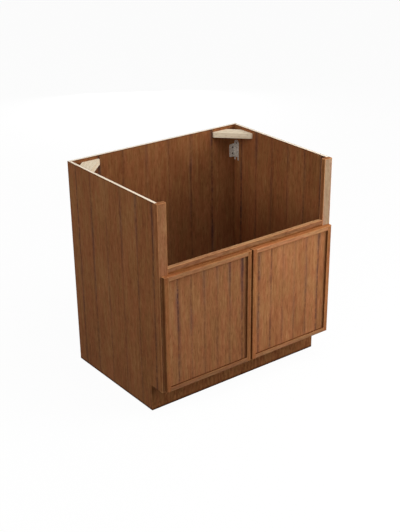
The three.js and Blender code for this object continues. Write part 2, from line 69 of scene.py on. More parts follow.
class Graph:
    """A material and short calls that each add a node or a few, and return their output.

    A colour is a tuple of red, green and blue in linear numbers, or another node's output.
    """

    def __init__(self, name):
        self.material = bpy.data.materials.new(name)
        self.material.use_nodes = True
        self.tree = self.material.node_tree
        self.shader = self.tree.nodes["Principled BSDF"]

    def put(self, socket, value):
        """Sets a socket to a constant, or links another node's output to it."""
        if isinstance(value, Socket):
            self.tree.links.new(value, socket)
        else:
            socket.default_value = value

    def node(self, kind, output=0, inputs=None, **settings):
        """Adds a node with its settings and inputs, and returns one of its outputs."""
        made = self.tree.nodes.new(kind)
        for name, value in settings.items():
            setattr(made, name, value)
        for key, value in (inputs or {}).items():
            self.put(made.inputs[key], value)
        return made.outputs[output]

    def parts(self, kind, value):
        """All outputs of a node that takes a vector or a colour apart."""
        made = self.tree.nodes.new(kind)
        self.put(made.inputs[0], value)
        return list(made.outputs)

    def math(self, operation, a, b=0.0, c=0.0):
        return self.node("ShaderNodeMath", 0, {0: a, 1: b, 2: c}, operation=operation)

    def minus(self, a, b):
        return self.math("SUBTRACT", a, b)

    def add(self, *terms):
        total = terms[0]
        for term in terms[1:]:
            total = self.math("ADD", total, term)
        return total

    def times(self, *factors):
        product = factors[0]
        for factor in factors[1:]:
            product = self.math("MULTIPLY", product, factor)
        return product

    def times_plus(self, value, factor, offset):
        return self.math("MULTIPLY_ADD", value, factor, offset)

    def around_half(self, value, weight):
        """A value that swings about 0.5, turned into one that swings about 0 by its weight."""
        return self.times_plus(value, weight, -0.5 * weight)

    def span(self, value, low, high, to_low=0.0, to_high=1.0):
        """The value's place between low and high, eased and held at both ends."""
        inputs = {0: value, 1: low, 2: high, 3: to_low, 4: to_high}
        return self.node("ShaderNodeMapRange", 0, inputs, interpolation_type="SMOOTHSTEP")

    def fall(self, value, low, high):
        """1 up to low and 0 from high, eased in between."""
        return self.span(value, low, high, 1.0, 0.0)

    def vector(self, x, y, z):
        return self.node("ShaderNodeCombineXYZ", 0, {0: x, 1: y, 2: z})

    def split(self, vector):
        return self.parts("ShaderNodeSeparateXYZ", vector)

    def point(self):
        """A point in the part's frame, as it is at rest."""
        return self.node("ShaderNodeTexCoord", "Object")

    def axes(self):
        """The point's X, Y and Z."""
        return self.split(self.point())

    def facings(self):
        """The surface's direction, as its X, Y and Z."""
        return self.split(self.node("ShaderNodeTexCoord", "Normal"))

    def to_edge(self, low, high):
        """How far a point on a board's surface is from the nearest edge of the board's box."""
        gaps = [
            self.math("MINIMUM", self.minus(part, a), self.minus(b, part))
            for part, a, b in zip(self.axes(), low, high)
        ]
        nearer, further = (self.math(kind, gaps[X], gaps[Y]) for kind in ("MINIMUM", "MAXIMUM"))
        return self.math("MAXIMUM", nearer, self.math("MINIMUM", further, gaps[Z]))

    def noise(self, place, scale, detail=2.0, roughness=0.5, distortion=0.0):
        """Noise from 0 to 1, with so many cells to a metre, or so many along each axis of the place."""
        if not isinstance(scale, (int, float)):
            place = self.node("ShaderNodeVectorMath", 0, {0: place, 1: scale}, operation="MULTIPLY")
            scale = 1.0
        settings = {"Scale": scale, "Detail": detail, "Roughness": roughness, "Distortion": distortion}
        return self.node("ShaderNodeTexNoise", "Fac", {"Vector": place, **settings})

    def streaky(self, place, across, along, **settings):
        """Noise with its own number of cells to a metre across the grain and along it."""
        return self.noise(place, (across, along, across), **settings)

    def mix(self, share, low, high, blend="MIX"):
        """From one colour to another by a share from 0 to 1, or the first blended with the second."""
        low, high = ((*colour, 1) if isinstance(colour, tuple) else colour for colour in (low, high))
        inputs = {0: share, 6: low, 7: high}
        return self.node("ShaderNodeMix", 2, inputs, data_type="RGBA", blend_type=blend)

    def tinted(self, share, colour, tint):
        """A colour times a tint, by a share from 0 to 1."""
        return self.mix(share, colour, tint, "MULTIPLY")

    def ramp(self, value, *stops):
        """The colour at a value, between stops of (value, colour)."""
        made = self.tree.nodes.new("ShaderNodeValToRGB")
        ramp = made.color_ramp
        while len(ramp.elements) < len(stops):
            ramp.elements.new(0.5)
        for element, (place, colour) in zip(ramp.elements, stops):
            element.position = place
            element.color = (*colour, 1)
        self.put(made.inputs[0], value)
        return made.outputs[0]

    def bump(self, height, distance, strength):
        """Makes the surface look raised, by the distance where the height is 1."""
        heights = {"Height": height, "Distance": distance, "Strength": strength}
        self.put(self.shader.inputs["Normal"], self.node("ShaderNodeBump", 0, heights))

    def finish(self, colour, roughness, metallic=0.0, specular=0.5):
        """Gives the shader its colour and its other values, and returns the material."""
        self.put(self.shader.inputs["Base Color"], colour)
        self.put(self.shader.inputs["Roughness"], roughness)
        self.put(self.shader.inputs["Metallic"], metallic)
        self.put(self.shader.inputs["Specular IOR Level"], specular)
        return self.material


def linear(red, green, blue):
    """A colour written as it looks on a screen, from 0 to 255, in the shaders' linear numbers."""
    return tuple(
        c / 12.92 if c <= 0.04045 else ((c + 0.055) / 1.055) ** 2.4
        for c in (red / 255, green / 255, blue / 255)
    )


# ---- Wood -------------------------------------------------------------------------------------------

STAIN = (linear(112, 68, 39), linear(146, 94, 58), linear(172, 118, 77))  # dark, middle and light grain
PALE_STAIN = (linear(136, 105, 82), linear(166, 136, 112), linear(186, 158, 134))
GRAIN_STOPS = (0.3, 0.5, 0.7)  # the grain's tones that take a stain's three colours
WORN_EDGE_HIGHLIGHT_COLOUR = linear(222, 160, 108)  # where sanding left little stain on an edge, and a painted highlight along eased edges
WOOD_GLOSS = 0.012  # how strongly stained wood mirrors, beside the usual 0.5

# Tints: what is left of the stain's red, green and blue.
REDDER = (1.04, 0.97, 0.96)  # the stain's lean from patch to patch
YELLOWER = (0.96, 1.01, 0.94)
JOINT_TINT = (0.4, 0.4, 0.6)  # at a glue joint
MARK_TINT = (0.62, 0.7, 1.1)  # in a bluish mark beside a joint
BLOT_TINT = (0.5, 0.4, 0.34)
SOAKED_TINT = (0.62, 0.5, 0.4)  # where more stain soaked in, beside a cut edge
DEEP_CONTACT_SHADE = (0.2, 0.12, 0.08)  # painted contact shade where a board meets the floor
CONTACT_SHADE = (0.7, 0.62, 0.55)  # painted shade fading out just above it
ABOVE_DOOR_SHADE = (0.8, 0.6, 0.4)  # painted shade on the apron rail, along the doors' top, for the dark gap behind them

# Sizes of the stain's marks. A pair is where a mark starts to fade and where it has gone.
JOINT_LINE = (0.0004, 0.0075)
JOINT_WANDER = 0.006  # how raggedly a joint's line and its marks run
JOINT_GROOVE = 0.0006  # half the width of the fine groove at a joint
JOINT_MARKS = (0.002, 0.017)
JOINTS_IN_LEAF = 6  # the outer ones dark and the middle ones faint
FAINT_JOINT = 0.4  # a middle joint's strength, beside 1 for an outer one
STRIP_SLIDE = 3.0  # how far along the grain one strip's figure is from the next one's, at most
# lighter edges, by sanding and by a painted highlight along them
WORN_EDGE_HIGHLIGHT_SPAN = (0.0005, 0.002)
EDGE_WANDER = 0.0016  # how raggedly the lighter edges (sanding and painted highlight) and level lines run
PALE_RIM = (0.001, 0.003)  # from a board's edge, where the pale front starts and where it is full

RAW = (linear(246, 233, 210), linear(208, 185, 150))
RAW_FLECK = linear(178, 150, 114)
PLY_LONG_GRAIN = linear(255, 244, 226)
PLY_END_GRAIN = linear(232, 206, 172)
PLY_THICKNESS = 0.0014
STAINED_BORDER = (0.0009, 0.0015)  # of a cut edge: the faces' stain ran in so far, and not further
BORDER_WANDER = 0.0012

GRAIN_AXES = {  # the axes across, along and through the grain
    "z": "xzy",
    "z_side": "yzx",
    "x": "zxy",
    "x_flat": "yxz",
    "xy": "yxz",
    "yx": "yxz",
}
LEVEL_TURNS = {"xy": -45, "yx": 45}  # degrees that bring a level, diagonal grain onto X


def grain_place(g, along):
    """A point's places across, along and through the grain, which runs along the axis named."""
    place = g.point()
    if along in LEVEL_TURNS:
        turn = {"Vector": place, "Angle": math.radians(LEVEL_TURNS[along])}
        place = g.node("ShaderNodeVectorRotate", 0, turn, rotation_type="Z_AXIS")
    by_name = dict(zip("xyz", g.split(place)))
    return [by_name[axis] for axis in GRAIN_AXES[along]]


class Strip(NamedTuple):
    """The strip of veneer that a point is in, as outputs of nodes."""

    place: Socket  # the point's place in the strip's own figure
    tint: Socket  # from 0 to 1, by chance
    joint: Socket  # the nearest joint's number, from 0
    to_joint: Socket  # and how far the point is from it


def strip_at(g, place, across, leaf, seed):
    """A point's strip in a leaf of strips glued edge to edge. The seed gives a board its own chances."""
    first, width = leaf
    count = g.math("DIVIDE", g.minus(across, first), width)
    joint = g.math("ROUND", count)
    to_joint = g.times(g.math("ABSOLUTE", g.minus(count, joint)), width)
    number = g.math("ADD", g.math("FLOOR", count), seed)
    chance = g.node("ShaderNodeTexWhiteNoise", "Color", {"W": number}, noise_dimensions="1D")
    tint, slide = g.parts("ShaderNodeSeparateColor", chance)[:2]
    move = g.vector(0.0, g.times(slide, STRIP_SLIDE), 0.0)
    own_place = g.node("ShaderNodeVectorMath", 0, {0: place, 1: move}, operation="ADD")
    return Strip(own_place, tint, joint, to_joint)


class Grain(NamedTuple):
    """What a point's grain is like, as outputs of nodes."""

    tone: Socket  # around 0.5
    dark: Socket  # from 0 to 1, in short flecks and pores
    patches: Socket  # from 0 to 1, like the fibres
    fibres: Socket
    relief: Socket  # the fibres, with the pores sunk below them


def grain_at(g, place, own_place):
    """Clouds over the whole board, and in each strip patches, mottle, streaks, bands, fibres and pores."""
    clouds = g.streaky(place, 9.0, 4.5, detail=3.0)
    patches = g.streaky(own_place, 46.0, 9.0, detail=3.0, distortion=0.3)
    mottle = g.streaky(own_place, 105.0, 30.0, detail=3.0, roughness=0.6, distortion=0.5)
    streaks = g.streaky(own_place, 120.0, 4.5, detail=3.0, roughness=0.6)
    fibres = g.streaky(own_place, 620.0, 20.0, detail=3.0, roughness=0.65)
    bend = g.streaky(own_place, 6.0, 1.3)
    bands = g.math("SINE", g.add(g.times(g.split(own_place)[X], 380.0), g.times(bend, 40.0)))
    tone = g.add(
        g.times_plus(bands, 0.01, 0.5),
        g.around_half(clouds, 0.2),
        g.around_half(patches, 0.16),
        g.around_half(mottle, 0.3),
        g.around_half(streaks, 0.24),
        g.around_half(fibres, 0.4),
    )
    flecks = g.span(g.streaky(own_place, 260.0, 34.0), 0.55, 0.72)
    pores = g.span(g.streaky(own_place, 1500.0, 55.0, detail=1.0), 0.6, 0.72)
    dark = g.math("MAXIMUM", g.times(pores, 0.4), g.times(flecks, 0.62))
    return Grain(tone, dark, patches, fibres, relief=g.times_plus(pores, -0.7, fibres))


def stain_colour(g, stain, tone, dark):
    """A stain's colours by tone, and its darkest one in flecks and pores."""
    return g.mix(dark, g.ramp(tone, *zip(GRAIN_STOPS, stain)), stain[0])


def with_joints(g, colour, place, height, strip):
    """Broken, ragged dark lines at a leaf's joints, and bluish marks beside them, stronger high up."""
    centre = (JOINTS_IN_LEAF - 1) / 2
    from_centre = g.math("ABSOLUTE", g.minus(strip.joint, centre))
    in_leaf = g.math("LESS_THAN", from_centre, centre + 0.5)
    weight = g.times(g.span(from_centre, 0.8, centre, FAINT_JOINT, 1.0), in_leaf)
    beside = g.add(strip.to_joint, g.around_half(g.streaky(place, 120.0, 12.0), JOINT_WANDER))

    fade = g.span(g.streaky(place, 14.0, 4.0), 0.36, 0.62, 0.6, 1.0)
    dashes = g.span(g.streaky(place, 20.0, 62.0), 0.4, 0.56, 0.5, 1.0)
    line = g.times(g.fall(beside, *JOINT_LINE), weight, dashes, fade)
    colour = g.tinted(g.times(line, 0.95), colour, JOINT_TINT)

    smears = g.span(g.streaky(place, 30.0, 6.0, detail=3.0), 0.4, 0.66)
    mark = g.times(g.fall(beside, *JOINT_MARKS), weight, smears, g.times_plus(height, 0.6, 0.4))
    return g.tinted(mark, colour, MARK_TINT)


def facing_share(g, axis, way):
    """1 on faces that look one way along an axis, or both ways for way 0."""
    facing = g.facings()[axis]
    facing = g.math("MULTIPLY", facing, way) if way else g.math("ABSOLUTE", facing)
    return g.span(facing, 0.5, 0.9)


def with_level_lines(g, colour, lines, wander):
    """Dark lines at their heights, each fading up or down to where it ends."""
    for darkest, end, tint in lines:
        height = g.add(g.axes()[Z], wander)
        share = g.times(g.minus(height, darkest), 1 / (end - darkest))
        colour = g.tinted(g.fall(share, 0.0, 1.0), colour, tint)
    return colour


def with_plies(g, colour, axis, low, high):
    """Plies where the board's edge is cut, between stained faces at low and high on its thin axis."""
    place = g.point()
    depth = g.axes()[axis]
    on_edge = g.math("LESS_THAN", g.math("ABSOLUTE", g.facings()[axis]), 0.5)
    from_low = g.minus(depth, low)
    from_face = g.math("MINIMUM", from_low, g.minus(high, depth))
    soak = g.add(from_face, g.around_half(g.noise(place, 140.0), BORDER_WANDER))
    bare = g.times(on_edge, g.span(soak, *STAINED_BORDER))
    layer = g.math("PINGPONG", from_low, PLY_THICKNESS)
    crosswise = g.span(layer, 0.35 * PLY_THICKNESS, 0.65 * PLY_THICKNESS)
    plies = g.mix(g.times(crosswise, 0.7), PLY_LONG_GRAIN, PLY_END_GRAIN)
    flecks = g.span(g.noise(place, 260.0, detail=3.0), 0.5, 0.8, 0.0, 0.3)
    return g.mix(bare, colour, g.mix(flecks, plies, RAW[1]))


def stained(
    board, along, shift, leaf=None, shade=1.0, wear_and_highlight=0.5, foot=0.0, pale=0.0, plied=None, blotches=0.0,
    lines=(), faces=(),
):
    """Reddish-brown stained wood for one board, whose grain runs along the axis named.

    shift moves the grain's figure across and along it. A leaf of veneer is (first joint, strip width).
    shade is what the stain's colours are times. wear_and_highlight is how much lighter the edges are, by
    sanding and by a painted highlight along them, foot how much darker the lower end of an upright board is,
    or lighter below 0, and pale how little stain its front took. plied is the thin axis of a board whose cut
    edges show pale plies, which has no lighter edges.
    blotches is how dark the stain's blots are. lines are level dark lines, as (height where it is darkest,
    height where it ends, tint). faces are (axis, way, tint) for the faces that look that way along it.
    """
    g = Graph(f"stained_{board}")
    low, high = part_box(board)
    across, length, through = grain_place(g, along)
    place = g.vector(g.math("ADD", across, shift[0]), g.math("ADD", length, shift[1]), through)
    height = g.span(g.axes()[Z], low[Z], high[Z])
    strip = strip_at(g, place, across, leaf, seed=10 * shift[1]) if leaf else None
    grain = grain_at(g, place, strip.place if strip else place)

    tone, relief = grain.tone, grain.relief
    if strip:
        tone = g.add(tone, g.around_half(strip.tint, 0.06))
    if foot:
        tone = g.add(tone, g.times_plus(height, foot, -0.6 * foot))
    colour = stain_colour(g, STAIN, tone, grain.dark)
    if pale:
        in_front = g.math("LESS_THAN", g.facings()[Y], -0.7)
        inside_rim = g.span(g.to_edge(low, high), *PALE_RIM, 0.0, pale)
        pale_colour = stain_colour(g, PALE_STAIN, tone, grain.dark)
        colour = g.mix(g.times(in_front, inside_rim), colour, pale_colour)
    lean = g.mix(g.span(grain.patches, 0.36, 0.64), REDDER, YELLOWER)
    colour = g.tinted(1.0, colour, lean)
    if strip:
        colour = with_joints(g, colour, place, height, strip)
        relief = g.times_plus(g.fall(strip.to_joint, 0.0, JOINT_GROOVE), -1.2, relief)
    if blotches:
        blots = g.span(g.streaky(place, 95.0, 30.0, detail=3.0, distortion=0.4), 0.5, 0.64)
        colour = g.tinted(g.times(blots, blotches), colour, BLOT_TINT)
    if shade != 1.0:
        colour = g.tinted(1.0, colour, (shade, shade, shade))
    # faces: painted shade and light on faces that look one way, such as the door stiles' sides and the rails'
    # upper and lower faces, and a painted highlight on the apron rail's top
    for axis, way, face_tint in faces:
        colour = g.tinted(facing_share(g, axis, way), colour, face_tint)

    wander = g.around_half(g.streaky(place, 180.0, 20.0), EDGE_WANDER)
    if plied is None:
        # lighter edges: sanded edges, and a painted highlight along them
        wear_and_highlight_share = g.fall(g.add(g.to_edge(low, high), wander), *WORN_EDGE_HIGHLIGHT_SPAN)
        colour = g.mix(g.times(wear_and_highlight_share, wear_and_highlight), colour, WORN_EDGE_HIGHLIGHT_COLOUR)
    # level lines: painted contact shade at the floor, painted shade above the doors, and stain soaked in at
    # the top
    colour = with_level_lines(g, colour, lines, wander)
    if plied is not None:
        colour = with_plies(g, colour, plied, low[plied], high[plied])
    g.bump(relief, distance=0.0001, strength=0.4)
    return g.finish(colour, g.times_plus(grain.fibres, 0.14, 0.4), specular=WOOD_GLOSS)


def raw_wood(name, along):
    """Pale planed wood with faint growth lines and short darker flecks."""
    g = Graph(name)
    place = g.vector(*grain_place(g, along))
    bend = g.streaky(place, 9.0, 1.5)
    bands = g.math("SINE", g.add(g.times(g.split(place)[X], 900.0), g.times(bend, 30.0)))
    streaks = g.streaky(place, 160.0, 5.0, detail=4.0, roughness=0.6)
    fibres = g.streaky(place, 900.0, 30.0)
    tone = g.add(g.times_plus(bands, 0.09, 0.45), g.around_half(fibres, 0.6), g.around_half(streaks, 1.0))
    flecks = g.span(g.streaky(place, 260.0, 60.0), 0.56, 0.7, 0.0, 0.55)
    colour = g.mix(flecks, g.ramp(tone, (0.1, RAW[0]), (0.9, RAW[1])), RAW_FLECK)
    g.bump(fibres, distance=0.00015, strength=0.5)
    return g.finish(colour, roughness=0.62, specular=0.25)


# ---- Metal and plastic ------------------------------------------------------------------------------


def plate(name, dull, bright, roughness, metallic, spread):
    """Plated steel with a faint mottle and fine upright scratches, which spread its roughness."""
    g = Graph(name)
    place = g.point()
    mottle = g.noise(place, 160.0, detail=4.0, roughness=0.6)
    scratches = g.noise(place, (900.0, 900.0, 60.0))
    colour = g.ramp(mottle, (0.3, dull), (0.7, bright))
    g.bump(scratches, distance=0.00003, strength=0.4)
    return g.finish(colour, g.times_plus(scratches, spread, roughness), metallic)


def black_phosphate(name):
    """Dark grey, slightly rough coating of the brackets' screws."""
    g = Graph(name)
    mottle = g.noise(g.point(), 700.0, detail=3.0)
    colour = g.ramp(mottle, (0.3, linear(30, 28, 27)), (0.75, linear(58, 55, 53)))
    g.bump(mottle, distance=0.00005, strength=0.6)
    return g.finish(colour, roughness=0.5, metallic=0.3)


def soft_plastic(name):
    """Milky plastic of the door bumpers, into which light goes a little."""
    g = Graph(name)
    cloud = g.noise(g.point(), 400.0, detail=3.0)
    colour = g.ramp(cloud, (0.3, linear(206, 206, 200)), (0.75, linear(226, 226, 221)))
    g.put(g.shader.inputs["Subsurface Weight"], 0.3)
    g.put(g.shader.inputs["Subsurface Radius"], (0.001, 0.001, 0.001))
    return g.finish(colour, roughness=0.35)


ZINC = plate(
    "zinc_plate", linear(152, 145, 136), linear(244, 238, 229), roughness=0.34, metallic=0.3, spread=0.2
)
NICKEL = plate(
    "nickel_plate", linear(196, 194, 188), linear(220, 218, 212), roughness=0.18, metallic=0.95, spread=0.16
)
BLACK = black_phosphate("black_phosphate")
PAD = soft_plastic("soft_plastic")


# ---- The solids' materials --------------------------------------------------------------------------

# Level lines as (height where it is darkest, height where it ends, tint).
# painted contact shade where the boards stand on the floor
CONTACT_SHADE_LINES = ((0.003, 0.006, DEEP_CONTACT_SHADE), (0.005, 0.014, CONTACT_SHADE))
TOP_LINE = (-0.001, -0.0045, SOAKED_TINT)  # its heights from the top of the panel
RAIL_SHADE_LINE = (0.003, 0.009, ABOVE_DOOR_SHADE)  # painted shade line; its heights from the top of the doors

APRON_TOP_HIGHLIGHT = (1.75, 2.3, 2.9)  # painted highlight on the apron rail's upper face
STILE_SIDE_SHADE = (0.5, 0.46, 0.42)  # painted shade on a door stile's two sides, for the narrow gaps beside the doors

BACK_LEAF = (0.1265, 0.1134)  # from the back panel's left end to its first joint, and a strip's width
FLOOR_LEAF = (0.52, 0.1)  # forward from the back panel to the floor's first joint, and a strip's width


class Half(NamedTuple):
    """What differs between the cabinet's halves."""

    slide: float  # how far the grain's figure is moved, so that the halves differ
    panel_leaf: tuple  # forward from the side panel's rear end to its first joint, and a strip's width
    door_leaf: tuple  # from the door panel's left end to its first joint, and a strip's width
    door_shade: float  # of the whole door
    stile_wear_and_highlight: float  # of the face frame's stile: how much lighter its edges are, by sanding and by a painted highlight
    stile_pale: float


HALVES = {
    "left": Half(
        slide=0.0, panel_leaf=(0.5746, 0.1034), door_leaf=(0.051, 0.061), door_shade=0.97,
        stile_wear_and_highlight=0.5, stile_pale=0.15,
    ),
    "right": Half(
        slide=0.6, panel_leaf=(0.5646, 0.101), door_leaf=(0.024, 0.0624), door_shade=1.2,
        stile_wear_and_highlight=0.85, stile_pale=0.95,
    ),
}


class Rail(NamedTuple):
    """How a door's rail is stained, with painted shade and light on its upper and lower faces."""

    slide: float  # of its figure across the grain
    shade: float  # beside the door's own
    upper_face_shade: tuple  # painted shade on its upper face: the ledge in the bottom rail's recess, and the top rail's top under the top light
    lower_face_light: tuple  # painted light on its lower face, against the shadow under the top rail


DOOR_RAILS = {
    "top": Rail(slide=0.1, shade=1.16, upper_face_shade=(0.8, 0.74, 0.68), lower_face_light=(1.9, 1.9, 1.9)),
    "bottom": Rail(slide=0.4, shade=0.9, upper_face_shade=(0.38, 0.32, 0.3), lower_face_light=(1.0, 1.0, 1.0)),
}
DOOR_STILES = {"outer": 0.2, "inner": 0.5}  # the slide of each one's figure across the grain


def line_from(height, line):
    """A level line whose heights are measured from another height."""
    darkest, end, tint = line
    return (height + darkest, height + end, tint)


def end_lines():
    """Painted contact shade above the floor, and the stain that soaked in at the top."""
    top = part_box("back_panel")[1][Z]
    return (*CONTACT_SHADE_LINES, line_from(top, TOP_LINE))


def carcass_materials():
    """The materials of the boards that belong to no half, and of the corner blocks."""
    back_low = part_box("back_panel")[0]
    door_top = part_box("left_door_top_rail")[1][Z]
    back_leaf = (back_low[X] + BACK_LEAF[0], BACK_LEAF[1])
    floor_leaf = (back_low[Y] - FLOOR_LEAF[0], FLOOR_LEAF[1])
    raw_level = raw_wood("raw_level", "x")
    return {
        # the back panel is darker all over, painted shade for the cabinet's inside, and lighter towards the
        # bottom (foot below 0), painted light low inside it
        "back_panel": stained(
            "back_panel", "z", (0.4, 0.5), back_leaf, shade=0.78, foot=-0.06, plied=Y, lines=end_lines()
        ),
        "floor_panel": stained("floor_panel", "x_flat", (0.2, 0.6), floor_leaf, plied=Z),
        "rear_floor_cleat": raw_level,
        "toe_bearer": raw_level,
        "toe_kick_board": stained(
            "toe_kick_board", "z", (0.7, 2.0), shade=0.82, wear_and_highlight=0.15, blotches=0.5, lines=CONTACT_SHADE_LINES
        ),
        "frame_bottom_rail": stained("frame_bottom_rail", "x", (0.31, 0.7)),
        # the apron rail gets a painted shade line just above the doors' top
        "frame_apron_rail": stained(
            "frame_apron_rail", "x", (0.31, 0.0), shade=0.86, wear_and_highlight=0.3, pale=0.2, blotches=0.45,
            # a painted highlight on the rail's upper face
            lines=(line_from(door_top, RAIL_SHADE_LINE),), faces=((Z, 1, APRON_TOP_HIGHLIGHT),),
        ),
        "rear_left_corner_block": raw_wood("raw_left_block", "xy"),
        "rear_right_corner_block": raw_wood("raw_right_block", "yx"),
    }


def half_materials(side, half):
    """The materials of a side's panel, stile, bracket and hinges, and of its door."""
    panel, stile = f"{side}_side_panel", f"{side}_frame_stile"
    door_panel = f"{side}_door_panel"
    panel_leaf = (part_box(panel)[1][Y] - half.panel_leaf[0], half.panel_leaf[1])
    door_leaf = (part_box(door_panel)[0][X] + half.door_leaf[0], half.door_leaf[1])
    materials = {
        panel: stained(
            panel, "z_side", (0.1, 1.2 + half.slide), panel_leaf, foot=0.04, plied=X, lines=end_lines()
        ),
        door_panel: stained(
            door_panel, "z", (0.02, 0.7 + half.slide), door_leaf, half.door_shade, foot=0.05, pale=0.07
        ),
        stile: stained(
            stile, "z", (half.slide, 0.3), wear_and_highlight=half.stile_wear_and_highlight, pale=half.stile_pale, blotches=0.25
        ),
        f"rear_{side}_corner_bracket": ZINC,
    }
    for place, slide in DOOR_STILES.items():
        name = f"{side}_door_{place}_stile"
        shift = (half.slide + slide, 1.4)
        # painted shade on the stile's two sides
        faces = ((X, 0, STILE_SIDE_SHADE),)
        materials[name] = stained(name, "z", shift, shade=half.door_shade, faces=faces)
    for place, rail in DOOR_RAILS.items():
        name = f"{side}_door_{place}_rail"
        shift = (half.slide + rail.slide, 0.9)
        shade = rail.shade * half.door_shade
        # painted shade on the rail's upper face and painted light on its lower face
        faces = ((Z, 1, rail.upper_face_shade), (Z, -1, rail.lower_face_light))
        materials[name] = stained(name, "x", shift, shade=shade, wear_and_highlight=0.15, pale=0.2, faces=faces)
    for level in LEVELS:
        for piece in ("cup", "arm", "outer_link", "inner_link"):
            materials[f"{side}_{level}_hinge_{piece}"] = NICKEL
    return materials


def dress_nodes():
    """Gives each solid its material and returns the material of each."""
    materials = carcass_materials()
    for side, half in HALVES.items():
        materials.update(half_materials(side, half))
    for name, material in materials.items():
        mesh = nodes[name].data
        mesh.materials.clear()
        mesh.materials.append(material)
    return materials


# ---- Edges ------------------------------------------------------------------------------------------

EASED_EDGE = 0.0006  # of planed and sanded wood
METAL_EDGE = 0.00012
SHARP_ANGLE = 40  # degrees between faces from which an edge is eased
WELD_GAP = 0.00001


def ease_edges(node, width):
    """Breaks a solid's sharp edges, so that they catch the light."""
    weld = node.modifiers.new("weld", "WELD")
    weld.merge_threshold = WELD_GAP
    bevel = node.modifiers.new("eased_edges", "BEVEL")
    bevel.width = width
    bevel.segments = 2
    bevel.limit_method = "ANGLE"
    bevel.angle_limit = math.radians(SHARP_ANGLE)
    bevel.use_clamp_overlap = True
    flat = node.modifiers.new("flat_faces", "WEIGHTED_NORMAL")  # large faces stay flat beside the eased edges
    flat.weight = 100
    flat.keep_sharp = False
    for face in node.data.polygons:
        face.use_smooth = True


# ---- Shapes of fasteners and pads -------------------------------------------------------------------

FASTENER_REACH = 0.003  # how far a fastener goes down into what it holds
ROUND_STEPS = 28
RECESS_TAPER = 0.45  # the recess's size at its floor, beside 1 at the head's top
RECESS_TURN = 1.9  # radians from one screw's recess to the next one's


def to_mesh(made, name):
    """A mesh from a bmesh, which is freed."""
    mesh = bpy.data.meshes.new(name)
    made.to_mesh(mesh)
    made.free()
    return mesh


def turned(profile):
    """A closed mesh turned from (radius, height) points, which start and end on the axis."""
    made = bmesh.new()
    angles = [2 * math.pi * step / ROUND_STEPS for step in range(ROUND_STEPS)]
    rings = []
    for radius, height in profile:
        if radius == 0:
            rings.append([made.verts.new((0, 0, height))])
        else:
            around = [(radius * math.cos(a), radius * math.sin(a), height) for a in angles]
            rings.append([made.verts.new(point) for point in around])
    for inner, outer in zip(rings, rings[1:]):
        for step in range(ROUND_STEPS):
            after = (step + 1) % ROUND_STEPS
            corners = [inner[step % len(inner)], outer[step % len(outer)]]
            for corner in (outer[after % len(outer)], inner[after % len(inner)]):
                if corner not in corners:
                    corners.append(corner)
            made.faces.new(corners)
    bmesh.ops.recalc_face_normals(made, faces=made.faces)
    return to_mesh(made, "turned")


def arc_points(radius, height, sink=0.0, steps=6):
    """A dome's profile from its top on the axis to its rim, which stands on height `sink`."""
    return [
        (radius * math.sin(turn), sink + (height - sink) * math.cos(turn))
        for turn in (math.pi / 2 * step / steps for step in range(steps + 1))
    ]


def cross_recess(mesh, top, span, width, depth):
    """Sinks a tapered cross into a screw's head."""
    cutter = bmesh.new()
    for turn in (0, math.pi / 2):
        blade = bmesh.ops.create_cube(cutter, size=1)["verts"]
        for corner in blade:
            x, y, z = corner.co
            taper = RECESS_TAPER if z < 0 else 1.0
            corner.co = (x * span * taper, y * width * taper, top + z * 2 * depth)
        bmesh.ops.rotate(cutter, verts=blade, cent=(0, 0, 0), matrix=Matrix.Rotation(turn, 3, "Z"))
    head = bpy.data.objects.new("head", mesh)
    blades = bpy.data.objects.new("blades", to_mesh(cutter, "blades"))
    for piece in (head, blades):
        bpy.context.scene.collection.objects.link(piece)
    cut = head.modifiers.new("recess", "BOOLEAN")
    cut.operation = "DIFFERENCE"
    cut.solver = "EXACT"
    cut.use_self = True
    cut.object = blades
    seen = bpy.context.evaluated_depsgraph_get()
    made = bpy.data.meshes.new_from_object(head.evaluated_get(seen))
    for piece in (head, blades):
        bpy.data.objects.remove(piece)
    return made


def screw_head(radius, height):
    """A pan-head screw's head, and a little of its shank, with a cross recess."""
    shank = 0.45 * radius
    under_head = [(radius, 0.0), (shank, 0.0), (shank, -FASTENER_REACH), (0.0, -FASTENER_REACH)]
    head = turned(arc_points(radius, height, sink=0.25 * height) + under_head)
    return cross_recess(head, top=height, span=1.05 * radius, width=0.2 * radius, depth=0.55 * height)


def rivet_head(radius, height):
    """A low dome with a flat underside."""
    return turned(arc_points(radius, height) + [(0.0, 0.0)])


def copies(mesh, moves):
    """One mesh of copies of another, each moved by its matrix."""
    made = bmesh.new()
    for move in moves:
        copy = mesh.copy()
        copy.transform(move)
        made.from_mesh(copy)
        bpy.data.meshes.remove(copy)
    return to_mesh(made, "copies")


def seats(mesh, places):
    """Copies of a mesh, each at a place, facing a way and turned by its own angle."""
    moves = []
    for index, (place, facing) in enumerate(places):
        aim = Vector(facing).to_track_quat("Z", "Y").to_matrix().to_4x4()
        moves.append(Matrix.Translation(place) @ aim @ Matrix.Rotation(RECESS_TURN * index, 4, "Z"))
    return copies(mesh, moves)


def show(name, mesh, material, body, smooth=45):
    """Puts a mesh in the scene as a piece of a body, smooth where its faces meet below an angle."""
    mesh.materials.clear()
    mesh.materials.append(material)
    for face in mesh.polygons:
        face.use_smooth = True
        face.material_index = 0
    mesh.set_sharp_from_angle(angle=math.radians(smooth))
    piece = bpy.data.objects.new(name, mesh)
    bpy.context.scene.collection.objects.link(piece)
    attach(piece, body)
    return piece


# ---- Fasteners of the hinges ------------------------------------------------------------------------

